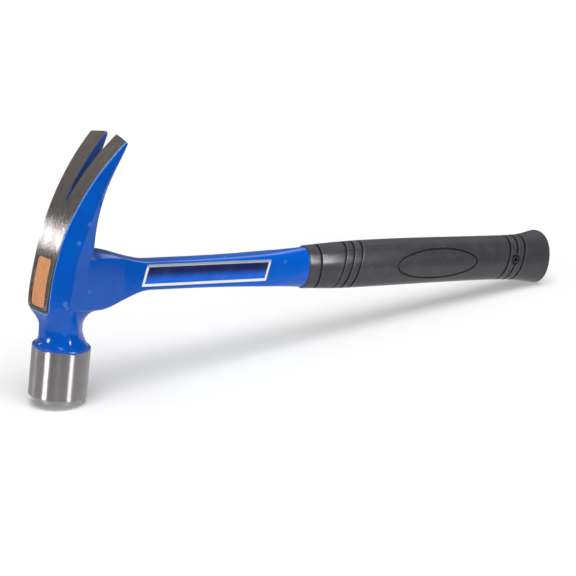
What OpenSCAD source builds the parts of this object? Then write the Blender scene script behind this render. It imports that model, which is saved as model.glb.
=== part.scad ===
// Framing hammer with a one-piece forged steel head and handle, a hickory plug in the eye
// of the head and a moulded rubber cushion grip over the tang.
// Every module is drawn in the hammer's own axes: x runs along the handle to the butt, y across
// it, z up the head from the striking face to the claw, and zero is where the bell's axis
// crosses the handle. The finished hammer then stands on its striking face and its butt.

/* [Bell] */
// Diameter of the bell
bell_d = 35; // [31:0.5:37]
// Length of the straight wall of the bell
bell_len = 31; // [22:0.5:40]
// Diameter of the flat striking face
face_d = 28.4; // [22:0.2:30]
// Height of the bevel round the striking face
face_bevel = 3.5; // [1.5:0.1:5]
// Drop from the handle's axis to the top of the bell
bell_drop = 36.4; // [35.5:0.1:40]
// Bevel on the top edge of the bell
bell_edge = 0.9; // [0.4:0.1:1.4]

/* [Neck] */
// Width of the eight-sided neck across its main flats
neck_w = 26; // [24:0.2:27]
// Width of the neck across its four corner bevels
neck_bevel_w = 24; // [23:0.2:25]
// Distance that the neck stands forward of the bell's axis
neck_forward = 1.65; // [0.5:0.05:2.5]
// Drop from the handle's axis to the waist of the neck
waist_drop = 26; // [25:0.2:28]
// Radius of the sweep from the neck's waist out to the bell
neck_sweep_r = 14.5; // [13:0.1:16]

/* [Crown and claws] */
// Radius of the long curve of the crown and claws
crown_r = 145; // [130:1:165]
// Distance from the bell's axis forward to the crown
crown_forward = 19.4; // [18:0.1:22]
// Drop from the handle's axis to the foot of the crown's curve
crown_drop = 12; // [10:0.2:14]
// Length of the crown's curve from its foot to the claw tips
claw_len = 110; // [95:1:120]
// Width of the crown beside the eye
crown_w = 21.6; // [19:0.2:24]
// Width over the two claw tips
claw_spread = 38; // [34:0.5:42]
// Thickness of the claw tips
claw_tip = 2; // [1.4:0.1:3]
// Depth of the claws where they rise from the handle
claw_root = 24; // [22:0.5:27]
// Width over the underside of the claws at their root
claw_under_w = 23.2; // [22.6:0.1:24]
// Distance that the claws reach further beside the slot than at their outer corners
claw_bow = 3; // [0:0.1:4]
// Depth from the crown back to the widest line of the cheeks
cheek_depth = 14; // [13:0.2:15]
// Width over the cheeks at their widest line
cheek_w = 26; // [25:0.2:27]

/* [Nail slot] */
// Length of the slot between the claws
slot_len = 46; // [36:1:54]
// Width of the slot at the claw tips
slot_w = 9; // [7.5:0.1:10]
// Width of the slot at its root
slot_root_w = 1.2; // [0.8:0.1:2]

/* [Eye and plug] */
// Width of the eye across the crown
eye_w = 13.8; // [11:0.2:15]
// Height of the eye along the crown
eye_h = 29.6; // [24:0.2:31]
// Corner radius of the eye
eye_r = 2.6; // [1.5:0.1:4]
// Depth of the eye below the crown
eye_depth = 24; // [16:0.5:26]
// Rise of the eye's middle above the handle's axis
eye_rise = 1.9; // [1:0.1:3]
// Clearance round the hickory plug
plug_gap = 0.12; // [0.05:0.01:0.3]
// Depth of the plug's end below the crown
plug_sink = 0.25; // [0.1:0.05:0.6]

/* [Handle] */
// Distance from the bell's axis to the butt
handle_len = 389; // [340:1:430]
// Thickness of the shank
shank_t = 14.6; // [13:0.2:16]
// Height of the shank at its waist
waist_h = 19; // [17:0.2:21]
// Height of the shank where the grip starts
shank_end_h = 26; // [24:0.2:27]
// Thickness of the shank where the grip starts
shank_end_t = 16; // [14.6:0.2:16.8]
// Distance from the bell's axis to the end of the flat cheek
cheek_len = 36; // [32:0.5:40]
// Distance from the bell's axis to the shank's waist
waist_x = 57; // [52:0.5:64]
// Rise of the handle's middle line at the shank's waist
waist_z = 2.9; // [2:0.1:3.5]
// Rise of the handle's middle line at the butt, below zero when it drops
butt_z = -1.2; // [-3:0.1:1]
// Top of the handle where it leaves the claws
root_top = 20.3; // [19:0.1:21]
// Drop to the underside of the handle where it leaves the neck
root_drop = 15.8; // [15:0.1:17]
// Radius under the handle where it meets the neck
root_r = 8; // [6:0.2:9]
// Height of the rounded edges under the handle at its root
under_round = 3; // [2:0.1:4]
// Height of the rounded edges of the shank
shank_round = 2.6; // [2:0.1:3.4]
// Height of the bevels along the top of the handle at its root
root_bevel = 4.5; // [3:0.1:5]
// Height of those bevels where the flat cheek ends
cheek_end_bevel = 1.6; // [1:0.1:2.4]

/* [Tang] */
// Height of the tang inside the grip
tang_h = 17; // [13:0.5:19]
// Thickness of the tang inside the grip
tang_t = 8; // [6:0.2:10]
// Corner radius of the tang
tang_r = 2; // [1:0.1:3]
// Rubber left between the end of the tang and the butt
butt_wall = 13; // [6:0.5:25]
// Clearance between the tang and the rubber
grip_gap = 0.1; // [0.05:0.05:0.3]

/* [Grip] */
// Length of the grip
grip_len = 211; // [195:1:225]
// Height of the grip at its front rim
grip_front_h = 27.8; // [27:0.2:30]
// Thickness of the grip at its front rim
grip_front_t = 17; // [16:0.2:20]
// Height of the grip over its swell
grip_swell_h = 31; // [29:0.2:34]
// Height of the grip at its waist before the butt
grip_waist_h = 30.2; // [28:0.2:33]
// Thickness of the grip at its waist before the butt
grip_waist_t = 23.2; // [20:0.2:26]
// Height of the butt
butt_h = 37.6; // [34:0.2:40]
// Thickness of the butt
butt_t = 30.2; // [25:0.2:32]
// Radius of the butt's rim
butt_r = 2.2; // [1:0.1:3]
// Radius of the front rim
rim_r = 0.8; // [0.4:0.1:1.2]
// Height that the middle of the grip arches above the handle's line
grip_arch = 0.7; // [0:0.1:1.5]
// Width of the ring grooves
groove_w = 1.5; // [1:0.1:2]
// Depth of the ring grooves
groove_depth = 0.8; // [0.4:0.1:1.2]
// Distance from the front rim to the single front groove
front_groove = 9.3; // [7:0.1:12]
// Distance from the front rim to the first of the three front grooves
fore_grooves = 27.7; // [22:0.1:32]
// Distance from the butt to the last of the three rear grooves
rear_grooves = 23.7; // [21:0.1:28]
// Spacing of the grooves in each set of three
groove_pitch = 6.8; // [5:0.1:9]
// Lean of the grooves from upright
groove_lean = 13; // [0:1:16]

/* [Hang pin hole] */
// Diameter of the small moulded hole near the butt
pin_d = 2.8; // [2:0.1:4]
// Distance from the butt to the hole
pin_from_butt = 30.8; // [26:0.1:34]
// Rise of the hole above the handle's middle line
pin_rise = 1; // [0:0.1:3]
// Diameter of the ring groove round the hole
pin_ring_d = 6.6; // [5.5:0.1:8]
// Rubber left between the hole and the tang
pin_wall = 3; // [1:0.1:5]

/* [Label] */
// Height of the foil label
label_h = 13.6; // [9:0.1:13.6]
// Thickness of the foil label
label_t = 0.2; // [0.1:0.05:0.4]
// Distance from the bell's axis to the label's front edge
label_x = 49; // [48:0.1:60]
// Clear length of shank between the label's lower corner and the grip
label_gap = 34; // [24:0.5:60]
// Slant of the label's ends from upright
label_slant = 12; // [0:1:20]
// Rise of the label above the handle's middle line
label_rise = 0.8; // [0:0.1:1.2]
// Corner radius of the label
label_r = 0.8; // [0.3:0.1:2]

/* [Hidden] */

// Overrun of every cut past the face that it opens
over = 4;
// Depth that joined shapes sink into each other
sink = 2;
// Blunting of the forged edges
edge_r = 0.9;
// Width of the head's section inside the handle's root
buried_w = 20;
// Facets of the turned shapes
$fn = 96;

// Heights down the head
bell_top_z = -bell_drop;
bevel_z = bell_top_z - bell_len;
face_z = bevel_z - face_bevel;
crown_z = -crown_drop;
waist_neck_z = -waist_drop;

// Places along the handle
grip_x = handle_len - grip_len;
cheek_x = cheek_depth - crown_forward;
crown_x = crown_r - crown_forward;
root_x = neck_w / 2 - neck_forward;
label_len = grip_x - label_gap - label_x;

function lerp(a, b, k) = a + (b - a) * k;
function clamp(k) = max(0, min(1, k));
function part(a, b, x) = clamp((x - a) / (b - a));
function ease(k) = k * k * (3 - 2 * k);
function flat(lists) = [for (l = lists) each l];
function handle_z(x) = lerp(waist_z, butt_z, (x - waist_x) / (handle_len - waist_x));

// Smooth curve through a table of [place, value] pairs
function slope(t, i) =
    let (a = t[max(i - 1, 0)], b = t[min(i + 1, len(t) - 1)])
    (b.y - a.y) / (b.x - a.x);
function piece(t, x, i = 0) = i >= len(t) - 2 || x < t[i + 1].x ? i : piece(t, x, i + 1);
function curve(t, x) =
    let (i = piece(t, x), w = t[i + 1].x - t[i].x, k = clamp((x - t[i].x) / w))
    lerp(t[i].y, t[i + 1].y, ease(k))
        + w * k * (1 - k) * ((1 - k) * slope(t, i) - k * slope(t, i + 1));

// Solid through a list of rings that all have as many points, closed by a fan at each end
function middle(ring) = [for (p = ring) 1] * ring / len(ring);
module loft(rings, tip = undef) {
    n = len(rings[0]);
    last = len(rings) - 1;
    fan = len(rings) * n;
    points = concat(flat(rings), [middle(rings[0]), is_undef(tip) ? middle(rings[last]) : tip]);
    sides = [for (i = [0 : last - 1], j = [0 : n - 1])
        let (a = i * n + j, b = i * n + (j + 1) % n)
        each [[a, a + n, b], [b, a + n, b + n]]];
    ends = [for (j = [0 : n - 1])
        let (k = (j + 1) % n)
        each [[fan, j, k], [fan + 1, last * n + k, last * n + j]]];
    polyhedron(points, concat(sides, ends));
}

// Points of a rounded rectangle
function rounded(w, h, r, steps = 5) = [
    for (q = [0 : 3], i = [0 : steps])
        let (a = 90 * (q + i / steps), sx = q == 1 || q == 2 ? -1 : 1, sy = q > 1 ? -1 : 1)
        [sx * (w / 2 - r) + r * cos(a), sy * (h / 2 - r) + r * sin(a)]
];

// Closed outline through corners that are blunted, with each side split into steps
function ringed(corners, blunt, steps) = [
    for (i = [0 : len(corners) - 1])
        let (
            p = corners[i],
            q = corners[(i + 1) % len(corners)],
            e = min(blunt / norm(q - p), 1 / 3)
        )
        for (j = [0 : steps]) lerp(p, q, lerp(e, 1 - e, j / steps))
];
// Both sides of a section, from the corners of one side listed from its front to its back
function mirrored(half) = concat(
    [for (p = half) [p.x, -p.y]],
    [for (i = [len(half) - 1 : -1 : 0]) half[i]]
);

// Crown, cheek facets and both claws, in planes square to the crown's curve
claw_foot_share = 0.22;
claw_root_share = 0.38;
claw_mid_share = 0.7;
buried_share = 0.1;
under_root_share = 0.27;
under_mid_share = 0.24;
claw_taper_power = 0.85;
flare_power = 1.2;
cheek_fade_power = 3;
tip_bow_power = 8;
tip_fan_share = 1.3;
claw_steps = 24;
side_steps = 4;
claw_tip_angle = arc_angle(claw_len);
function arc_angle(length) = length / crown_r * 180 / PI;
under_table = [
    [buried_share, buried_w / 2],
    [under_root_share, claw_under_w / 2],
    [claw_mid_share, lerp(claw_under_w, claw_spread, under_mid_share) / 2],
    [1, claw_spread / 2]
];
function claw_half(k) =
    let (
        wide = claw_spread / 2,
        flare = pow(part(claw_foot_share, 1, k), flare_power),
        cheek_at = lerp(cheek_depth, claw_tip / 2, pow(k, cheek_fade_power)),
        cheek = [cheek_at, lerp(cheek_w / 2, wide, flare)],
        taper = pow(part(1, claw_root_share, k), claw_taper_power),
        under = [lerp(claw_tip, claw_root, taper), curve(under_table, k)]
    )
    [[0, lerp(crown_w / 2, wide, flare)], cheek, (cheek + under) / 2, under];
function claw_point(k, p, bow) =
    let (angle = claw_tip_angle * k + arc_angle(bow), r = crown_r - p.x)
    [crown_x - r * cos(angle), p.y, crown_z + r * sin(angle)];
function claw_ring(k) = [
    for (p = ringed(mirrored(claw_half(k)), min(edge_r, claw_tip / 3), side_steps))
        claw_point(k, p, claw_bow * pow(k, tip_bow_power) * (1 - pow(2 * p.y / claw_spread, 2)))
];

// Eight-sided neck below the crown, with a sweep at the back up to the handle
neck_steps = 9;
root_steps = 5;
root_reach = 75;
root_bury_share = 0.5;
neck_flat = neck_bevel_w / sqrt(2) - neck_w / 2;
neck_half = [
    [-neck_forward - neck_w / 2, neck_flat],
    [-neck_forward - neck_flat, neck_w / 2],
    [-neck_forward + neck_flat, neck_w / 2],
    [root_x, neck_flat]
];
crown_half = [for (p = claw_half(0)) [p.x - crown_forward, p.y]];
function foot_ring(z, back) =
    let (
        k = ease(part(crown_z, waist_neck_z, z)),
        front = ease(part(crown_z, waist_neck_z + sink, z)),
        half = [for (i = [0 : 3]) [
            i == 3 ? back.x : lerp(crown_half[i].x, neck_half[i].x, i == 0 ? front : k),
            i == 3 ? back.y : lerp(crown_half[i].y, neck_half[i].y, k)
        ]]
    )
    [for (p = ringed(mirrored(half), edge_r, side_steps)) [p.x, p.y, z]];
function root_ring(a) = foot_ring(
    -root_drop - root_r * (1 - sin(a)),
    [root_x + root_r * (1 - cos(a)), lerp(neck_flat, root_flat, sin(a))]
);

// Turn of the neck from eight sides to round as it sweeps out to the bell
neck_sweep_angle = acos(1 - (bell_d / 2 - 2 * bell_edge - neck_w / 2) / neck_sweep_r);
function sweep_ring(z, grow, turned) = [
    for (p = ringed(mirrored(neck_half), edge_r, side_steps))
        let (
            q = [p.x + neck_forward, p.y],
            r = neck_w / 2 + grow,
            s = lerp(q * r / (neck_w / 2), q * r / norm(q), turned)
        )
        [s.x - neck_forward * (1 - turned), s.y, z]
];
module head() {
    seat_grow = neck_sweep_r * (1 - cos(neck_sweep_angle));
    sweep = [for (i = [neck_steps : -1 : 0])
        let (a = neck_sweep_angle * i / neck_steps)
        sweep_ring(
            lerp(waist_neck_z, bell_top_z, sin(a) / sin(neck_sweep_angle)),
            neck_sweep_r * (1 - cos(a)),
            ease(i / neck_steps)
        )];
    roots = [for (i = [0 : root_steps]) root_ring(root_reach * i / root_steps)];
    buried = foot_ring((crown_z - root_drop) / 2, [root_x + root_r * root_bury_share, root_flat]);
    blade = [for (i = [0 : claw_steps]) claw_ring(i / claw_steps)];
    tip = claw_point(1, [claw_tip / 2, 0], claw_bow * tip_fan_share);
    loft(concat([sweep_ring(bell_top_z - sink, seat_grow, 1)], sweep, roots, [buried], blade), tip);
}

// Tapered slot between the claws, cut square to the crown at its middle
module nail_slot() {
    slot_angle = arc_angle(claw_len - slot_len / 2);
    tip_w = slot_w * (slot_len + 2 * over) / slot_len;
    translate([crown_x, 0, crown_z])
        rotate([0, slot_angle, 0])
            translate([-crown_r - over, 0, 0])
                rotate([90, 0, 90])
                    linear_extrude(claw_root + 2 * over)
                        polygon([
                            [-slot_root_w / 2, -slot_len / 2],
                            [slot_root_w / 2, -slot_len / 2],
                            [tip_w / 2, slot_len / 2 + over],
                            [-tip_w / 2, slot_len / 2 + over]
                        ]);
}

// Turned bell with its bevelled striking face
module bell() {
    r = bell_d / 2;
    rotate_extrude()
        polygon([
            [0, face_z],
            [face_d / 2, face_z],
            [r, bevel_z],
            [r, bell_top_z - bell_edge],
            [r - bell_edge, bell_top_z],
            [0, bell_top_z]
        ]);
}

// Cheeks, handle root and shank, in planes that bend to the crown's curve near the head
shank_swell_power = 2.6;
shank_flat_share = 0.94;
root_bevel_share = 0.6;
oval_share = 0.9;
corner_steps = 6;
// Reach of the handle's buried end in front of the cheek line, and how far its sides stand back there
bury = 4;
bury_t = 1.8;
// Depth of the handle's cheek below the head's widest line
flush = 0.03;
// Spacing of the sections by the head and along the shank
head_x_step = 2.4;
shank_x_step = 9;
handle_start = cheek_x - bury;
label_run = label_h * tan(label_slant);
label_end = label_x + label_len + label_run;
function ovalness(x) = ease(part(label_end, grip_x, x));
function handle_half_t(x) =
    x < cheek_x ? lerp(cheek_w / 2 - bury_t, cheek_w / 2 - flush, part(handle_start, cheek_x, x))
    : x < cheek_len ? lerp(cheek_w / 2 - flush, shank_t / 2, part(cheek_x, cheek_len, x))
    : lerp(shank_t, shank_end_t, ovalness(x)) / 2;
root_flat = handle_half_t(root_x + root_r) - under_round;
function shank_half_h(x) =
    lerp(waist_h / 2, shank_end_h / 2, pow(part(waist_x, grip_x, x), shank_swell_power));
function handle_top(x) =
    lerp(root_top, handle_z(x) + shank_half_h(x), ease(part(claw_under_w / 2, waist_x, x)));
function handle_low(x) =
    lerp(-root_drop, handle_z(x) - shank_half_h(x), ease(part(root_x + root_r, waist_x, x)));
function oval_edge(h, x) = lerp(h, shank_half_h(x) * oval_share, ovalness(x));
function edge_h(x) =
    x < cheek_len ? lerp(root_bevel, cheek_end_bevel, part(root_x, cheek_len, x))
    : oval_edge(lerp(cheek_end_bevel, shank_round, ease(part(cheek_len, waist_x, x))), x);
function under_h(x) = oval_edge(lerp(under_round, shank_round, ease(part(cheek_len, waist_x, x))), x);
function edge_power(x) = lerp(1, 2, ease(part(cheek_len - root_r, waist_x, x)));
function edge_w(x) =
    let (k = ease(part(cheek_len - root_r, waist_x, x)))
    handle_half_t(x) * lerp(root_bevel_share, shank_flat_share, k);
function crown_bend(x, z) =
    let (k = x < cheek_x ? 0 : 1 - part(cheek_x, cheek_len, x), d = z - crown_z)
    k * (crown_r - sqrt(crown_r * crown_r - d * d));
function corner(w, h, power) = [
    for (i = [0 : corner_steps])
        let (a = 90 * i / corner_steps)
        [w * pow(cos(a), 2 / power) - w, h * pow(sin(a), 2 / power) - h]
];
function handle_ring(x) =
    let (
        t = handle_half_t(x),
        top = handle_top(x),
        low = handle_low(x),
        w = edge_w(x),
        h = edge_h(x),
        power = edge_power(x),
        under_w = lerp(under_round, w, ease(part(cheek_len, waist_x, x))),
        upper = [for (p = corner(w, h, power)) [t + p.x, top + p.y]],
        lower = [for (p = corner(under_w, under_h(x), 2)) [t + p.x, low - p.y]],
        right = concat([for (i = [corner_steps : -1 : 0]) lower[i]], upper),
        count = len(right)
    )
    [for (p = concat(right, [for (i = [count - 1 : -1 : 0]) [-right[i].x, right[i].y]]))
        [x + crown_bend(x, p.y), p.x, p.y]];
module shank() {
    head_steps = ceil((waist_x - cheek_x) / head_x_step);
    shank_steps = ceil((grip_x - waist_x) / shank_x_step);
    places = concat(
        [handle_start],
        [for (i = [0 : head_steps]) lerp(cheek_x, waist_x, i / head_steps)],
        [for (i = [1 : shank_steps]) lerp(waist_x, grip_x, i / shank_steps)]
    );
    loft([for (x = places) handle_ring(x)]);
}

// Bar of rounded section along the handle's middle line
handle_lean = atan((butt_z - waist_z) / (handle_len - waist_x));
module along_handle(x0, x1, w, h, r) {
    translate([x0, 0, handle_z(x0)])
        rotate([0, -handle_lean, 0])
            rotate([90, 0, 90])
                linear_extrude((x1 - x0) / cos(handle_lean))
                    polygon(rounded(w, h, r));
}
module tang() {
    along_handle(grip_x - sink, handle_len - butt_wall, tang_t, tang_h, tang_r);
}

// Rounded prism from the crown straight back along the handle
module eye_prism(gap, depth) {
    translate([-crown_forward + depth, 0, eye_rise])
        rotate([0, -90, 0])
            linear_extrude(depth + over)
                polygon(rounded(eye_h - 2 * gap, eye_w - 2 * gap, eye_r - gap));
}

module forged_head_and_handle() {
    color("royalblue")
        difference() {
            union() {
                head();
                bell();
                shank();
                tang();
            }
            nail_slot();
            eye_prism(0, eye_depth);
        }
}

// Hickory plug, seated on the floor of the eye and dressed to the crown's curve
module hickory_plug() {
    color("peru")
        intersection() {
            eye_prism(plug_gap, eye_depth);
            translate([crown_x, 0, crown_z])
                rotate([90, 0, 0])
                    cylinder(r = crown_r - plug_sink, h = crown_w, center = true);
        }
}

// Grip sections along its length, as shares of the grip's length
swell_share = 0.2;
grip_waist_share = 0.78;
flare_share = 0.9;
flare_size_share = 0.18;
swell_t_share = 0.3;
grip_power = 2.2;
grip_sides = 40;
// Spacing of the grip's plain sections
grip_step = 9;
rim_steps = 3;
grip_h_table = [
    [0, grip_front_h],
    [grip_len * swell_share, grip_swell_h],
    [grip_len * grip_waist_share, grip_waist_h],
    [grip_len * flare_share, lerp(grip_waist_h, butt_h, flare_size_share)],
    [grip_len, butt_h]
];
grip_t_table = [
    [0, grip_front_t],
    [grip_len * swell_share, lerp(grip_front_t, grip_waist_t, swell_t_share)],
    [grip_len * grip_waist_share, grip_waist_t],
    [grip_len * flare_share, lerp(grip_waist_t, butt_t, flare_size_share)],
    [grip_len, butt_t]
];

// Ring grooves: one upright at the front, then two leaning sets of three
rear_first = grip_len - rear_grooves - 2 * groove_pitch;
grooves = concat(
    [front_groove],
    [for (i = [0 : 2]) fore_grooves + i * groove_pitch],
    [for (i = [0 : 2]) rear_first + i * groove_pitch]
);
lean_table = [
    [front_groove, 0],
    [fore_grooves, tan(groove_lean)],
    [grip_len - rear_grooves, tan(groove_lean)],
    [grip_len - butt_r, 0]
];
groove_profile_shares = [[-0.5, 0], [-0.22, 1], [0.22, 1], [0.5, 0]];
function between(a, b) =
    let (n = max(2, ceil((b - a) / grip_step)))
    [for (i = [1 : n - 1]) [lerp(a, b, i / n), 0]];
function rim_point(r, a) = [r * (1 - cos(a)), r * (1 - sin(a))];
function front_rim() = [for (i = [0 : rim_steps]) rim_point(rim_r, 90 * i / rim_steps)];
function butt_rim() = [
    for (i = [rim_steps : -1 : 0])
        let (p = rim_point(butt_r, 90 * i / rim_steps))
        [grip_len - p.x, p.y]
];
function grip_stations() =
    let (
        starts = concat([rim_r], [for (g = grooves) g + groove_w / 2]),
        ends = concat([for (g = grooves) g - groove_w / 2], [grip_len - butt_r])
    )
    concat(
        front_rim(),
        flat([for (i = [0 : len(starts) - 1]) concat(
            between(starts[i], ends[i]),
            i < len(grooves)
                ? [for (s = groove_profile_shares) [grooves[i] + groove_w * s.x, groove_depth * s.y]]
                : []
        )]),
        butt_rim()
    );
function oval(c) = sign(c) * pow(abs(c), 2 / grip_power);
pin_x = handle_len - pin_from_butt;
pin_z = handle_z(pin_x) + pin_rise;
function off_pin(p) = p.y > 0 ? 1
    : part(pin_ring_d / 2, pin_ring_d / 2 + groove_w, norm([p.x - pin_x, p.z - pin_z]));
function grip_point(s, a, inset) =
    let (
        x = grip_x + s,
        z = (curve(grip_h_table, s) / 2 - inset) * oval(sin(a)),
        arch = grip_arch * sin(180 * s / grip_len)
    )
    [
        x + lookup(s, lean_table) * z,
        (curve(grip_t_table, s) / 2 - inset) * oval(cos(a)),
        handle_z(x) + arch + z
    ];
function grip_ring(s, inset) = [
    for (j = [0 : grip_sides - 1])
        let (a = 360 * j / grip_sides)
        grip_point(s, a, inset * off_pin(grip_point(s, a, 0)))
];
grip_rings = [for (p = grip_stations()) grip_ring(p.x, p.y)];

module cushion_grip() {
    color("dimgray")
        difference() {
            loft(grip_rings);
            along_handle(
                grip_x - over,
                handle_len - butt_wall,
                tang_t + 2 * grip_gap,
                tang_h + 2 * grip_gap,
                tang_r + grip_gap
            );
            translate([pin_x, -tang_t / 2 - pin_wall, pin_z])
                rotate([90, 0, 0])
                    cylinder(d = pin_d, h = butt_t);
            translate([pin_x, -grip_waist_t / 2 + groove_depth, pin_z])
                rotate([90, 0, 0])
                    difference() {
                        cylinder(d = pin_ring_d, h = butt_t);
                        translate([0, 0, -over])
                            cylinder(d = pin_ring_d - groove_w, h = butt_t + 2 * over);
                    }
        }
}

// Foil label with slanted ends, flat on the near side of the shank
module foil_label() {
    corners = [
        [0, -label_h / 2],
        [label_len, -label_h / 2],
        [label_len + label_run, label_h / 2],
        [label_run, label_h / 2]
    ];
    color("navy")
        translate([label_x, -shank_t / 2, handle_z(label_x) + label_rise])
            rotate([0, -handle_lean, 0])
                rotate([90, 0, 0])
                    linear_extrude(label_t)
                        polygon(ringed(corners, label_r, 1));
}

// Stance on the striking face's lower rim and the butt
rim_x = face_d / 2;
stand_lean = atan(min([for (ring = grip_rings, p = ring) (p.z - face_z) / (p.x - rim_x)]));
function stood(p) = [
    p.x * cos(stand_lean) + p.z * sin(stand_lean),
    p.z * cos(stand_lean) - p.x * sin(stand_lean)
];
floor_z = stood([rim_x, 0, face_z]).y;
back_x = max([for (ring = grip_rings, p = ring) stood(p).x]);
front_x = min(stood([-bell_d / 2, 0, bevel_z]).x, stood([-rim_x, 0, face_z]).x);
module stand() {
    translate([-(front_x + back_x) / 2, 0, -floor_z])
        rotate([0, stand_lean, 0])
            children();
}

stand() forged_head_and_handle();
stand() hickory_plug();
stand() cushion_grip();
stand() foil_label();
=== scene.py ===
import bpy
import bmesh
import math
from mathutils import Matrix, Vector


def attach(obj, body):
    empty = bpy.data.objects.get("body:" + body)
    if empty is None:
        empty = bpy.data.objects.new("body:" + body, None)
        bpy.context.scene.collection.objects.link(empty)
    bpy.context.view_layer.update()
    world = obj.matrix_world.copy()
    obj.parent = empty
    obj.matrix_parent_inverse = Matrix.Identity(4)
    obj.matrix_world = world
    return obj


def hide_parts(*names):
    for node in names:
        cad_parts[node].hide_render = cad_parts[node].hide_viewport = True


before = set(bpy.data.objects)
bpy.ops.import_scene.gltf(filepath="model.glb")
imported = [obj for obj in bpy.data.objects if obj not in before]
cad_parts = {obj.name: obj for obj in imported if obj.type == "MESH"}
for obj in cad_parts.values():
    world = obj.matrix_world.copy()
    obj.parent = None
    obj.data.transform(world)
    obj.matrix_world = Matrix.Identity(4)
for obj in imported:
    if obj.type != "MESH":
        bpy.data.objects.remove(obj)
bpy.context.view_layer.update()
scene = bpy.context.scene
mm = 0.001

# how the hammer stands: lean of the handle, middle of its length, height of its axis over the floor
stance = {"lean": math.radians(7.82873), "midX": 0.180477, "lift": 0.0721734}
toStand = Matrix.Translation((-stance["midX"], 0, stance["lift"])) @ Matrix.Rotation(stance["lean"], 4, "Y")
fromStand = toStand.inverted()
print("frame loaded:", sorted(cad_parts))


# small helpers for shader trees
def addNode(tree, kind, **settings):
    node = tree.nodes.new(kind)
    for key, value in settings.items():
        setattr(node, key, value)
    return node


def feed(tree, value, socket):
    if isinstance(value, bpy.types.NodeSocket):
        tree.links.new(value, socket)
    else:
        socket.default_value = value


def calc(tree, operation, *values, clamp=False):
    node = addNode(tree, "ShaderNodeMath", operation=operation, use_clamp=clamp)
    for value, socket in zip(values, node.inputs):
        feed(tree, value, socket)
    return node.outputs[0]


def times(tree, a, b):
    return calc(tree, "MULTIPLY", a, b)


def vectorCalc(tree, operation, a, b=None):
    node = addNode(tree, "ShaderNodeVectorMath", operation=operation)
    feed(tree, a, node.inputs[0])
    if b is not None:
        feed(tree, b, node.inputs[1])
    return node.outputs["Value" if operation in ("LENGTH", "DOT_PRODUCT") else "Vector"]


def ramp(tree, value, low, high, start=0.0, end=1.0):
    node = addNode(tree, "ShaderNodeMapRange", interpolation_type="SMOOTHSTEP")
    for item, socket in zip((value, low, high, start, end), node.inputs):
        feed(tree, item, socket)
    return node.outputs[0]


def blendColor(tree, factor, a, b, mode="MIX"):
    node = addNode(tree, "ShaderNodeMix", data_type="RGBA", blend_type=mode)
    feed(tree, factor, node.inputs[0])
    for value, socket in ((a, node.inputs[6]), (b, node.inputs[7])):
        feed(tree, (*value, 1) if isinstance(value, tuple) else value, socket)
    return node.outputs[2]


def blendValue(tree, factor, a, b):
    node = addNode(tree, "ShaderNodeMix", data_type="FLOAT")
    for value, number in ((factor, 0), (a, 2), (b, 3)):
        feed(tree, value, node.inputs[number])
    return node.outputs[0]


def noise(tree, place, scale, detail=3.0, roughness=0.5):
    node = addNode(tree, "ShaderNodeTexNoise")
    for key, value in (("Vector", place), ("Scale", scale), ("Detail", detail), ("Roughness", roughness)):
        feed(tree, value, node.inputs[key])
    return node.outputs["Fac"]


def bump(tree, height, distance, strength=1.0):
    node = addNode(tree, "ShaderNodeBump")
    for key, value in (("Strength", strength), ("Distance", distance), ("Height", height)):
        feed(tree, value, node.inputs[key])
    return node.outputs["Normal"]


# the hammer's own axes in millimetres: along the handle, across it, up the head
def hammerPlace(tree, spot=(0, 0, 0), turn=0.0):
    coords = addNode(tree, "ShaderNodeTexCoord")
    mapping = addNode(tree, "ShaderNodeMapping", vector_type="TEXTURE")
    mapping.inputs["Location"].default_value = toStand @ (Vector(spot) * mm)
    mapping.inputs["Rotation"].default_value = (0, stance["lean"] + turn, 0)
    mapping.inputs["Scale"].default_value = (mm, mm, mm)
    tree.links.new(coords.outputs["Object"], mapping.inputs["Vector"])
    return mapping.outputs["Vector"]


def split(tree, place):
    node = addNode(tree, "ShaderNodeSeparateXYZ")
    tree.links.new(place, node.inputs[0])
    return node.outputs[0], node.outputs[1], node.outputs[2]


def newGroup(name, inputs, outputs):
    group = bpy.data.node_groups.new(name, "ShaderNodeTree")
    for title, kind, default in inputs:
        socket = group.interface.new_socket(name=title, in_out="INPUT", socket_type="NodeSocket" + kind)
        if default is not None:
            socket.default_value = default
    for title, kind in outputs:
        group.interface.new_socket(name=title, in_out="OUTPUT", socket_type="NodeSocket" + kind)
    return group, addNode(group, "NodeGroupInput"), addNode(group, "NodeGroupOutput")


def useGroup(tree, group, **values):
    node = addNode(tree, "ShaderNodeGroup")
    node.node_tree = group
    for key, value in values.items():
        feed(tree, value, node.inputs[key])
    return node


# bare edges: where the surface turns sharply, broken up by noise
def makeEdgeWear():
    group, given, result = newGroup(
        "edgeWear",
        [("Place", "Vector", None), ("Reach", "Float", 0.0006),
         ("Grain", "Float", 0.8), ("Amount", "Float", 0.5)],
        [("Mask", "Float")],
    )
    rounded = addNode(group, "ShaderNodeBevel", samples=6)
    group.links.new(given.outputs["Reach"], rounded.inputs["Radius"])
    surface = addNode(group, "ShaderNodeNewGeometry")
    turned = vectorCalc(group, "DOT_PRODUCT", rounded.outputs[0], surface.outputs["Normal"])
    edge = ramp(group, calc(group, "SUBTRACT", 1.0, turned), 0.004, 0.09)
    patchy = noise(group, given.outputs["Place"], given.outputs["Grain"], 4.0, 0.62)
    limit = calc(group, "SUBTRACT", 0.92, times(group, given.outputs["Amount"], 0.6))
    both = calc(group, "ADD", times(group, edge, 0.5), times(group, patchy, 0.5))
    worn = ramp(group, both, limit, calc(group, "ADD", limit, 0.06))
    group.links.new(times(group, worn, edge), result.inputs["Mask"])
    return group


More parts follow.
